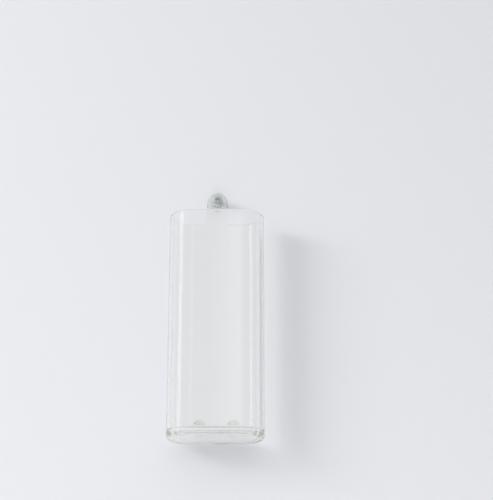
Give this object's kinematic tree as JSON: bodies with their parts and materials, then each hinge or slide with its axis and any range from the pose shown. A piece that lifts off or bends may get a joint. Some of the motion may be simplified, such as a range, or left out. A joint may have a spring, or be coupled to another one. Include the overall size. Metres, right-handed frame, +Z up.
{
  "type": "wall mounted flower tube",
  "caption": "Clear flat-oval glass tube with a closed base and a holed tab at the back, hung on a sleeved wall screw.",
  "frame": {"origin": "on the axis of the hanging screw, at the mouth of the hole in the wall, in the wall's face", "axes": "+X to the right as seen from the room, +Y into the wall, +Z up along the vessel"},
  "size_m": [0.08, 0.0738, 0.2251],
  "materials": {
    "clear_glass": "polished, fire-polished rim",
    "clear_silicone": "smooth, slightly cloudy",
    "stainless_steel": "satin",
    "grey_nylon": "moulded, matt",
    "clear_polyurethane": "smooth, clear"
  },
  "bodies": {
    "wall_fixing": {"wall_plug": "grey_nylon", "hanging_screw": "stainless_steel"},
    "sleeve": {"hanging_sleeve": "clear_silicone"},
    "vessel": {"glass_tube": "clear_glass", "bumper_left": "clear_polyurethane", "bumper_right": "clear_polyurethane"}
  },
  "joints": [
    {"name": "swing", "type": "hinge", "parent": "wall_fixing", "child": "sleeve", "pos_m": [0, 0, 0], "axis": [0, 1, 0], "range_deg": [-25, 25]},
    {"name": "pull_off", "type": "slide", "parent": "sleeve", "child": "vessel", "axis": [0, -1, 0], "range_m": [0, 0.03]}
  ]
}
